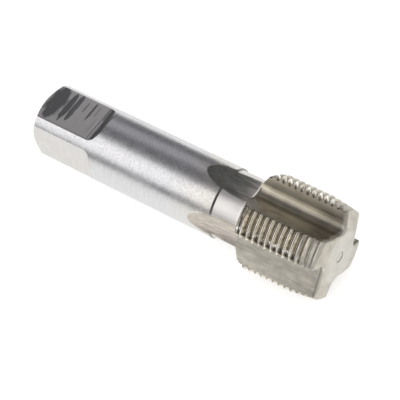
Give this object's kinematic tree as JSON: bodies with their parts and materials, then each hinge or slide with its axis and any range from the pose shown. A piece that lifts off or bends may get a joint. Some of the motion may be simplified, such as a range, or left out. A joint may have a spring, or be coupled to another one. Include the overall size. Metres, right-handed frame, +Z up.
{
  "type": "thread tap",
  "caption": "Straight-fluted hand tap with a squared drive end, round shank, relieved neck and a large threaded cutting head with a short tapered lead.",
  "frame": {"origin": "middle of the flat drive end, on the tool's axis", "axes": "+X along the tool's axis from the squared end to the cutting tip; +Z up, with one flute underneath, so the tool lies on the edges of two lands and on its shank"},
  "size_m": [0.093, 0.0238, 0.0238],
  "materials": {
    "ground_steel": "hardened tool steel, ground bright on the shank and squared end, with brown-grey ground flutes and fine thread"
  },
  "bodies": {
    "root": {"tap": "ground_steel"}
  },
  "joints": []
}
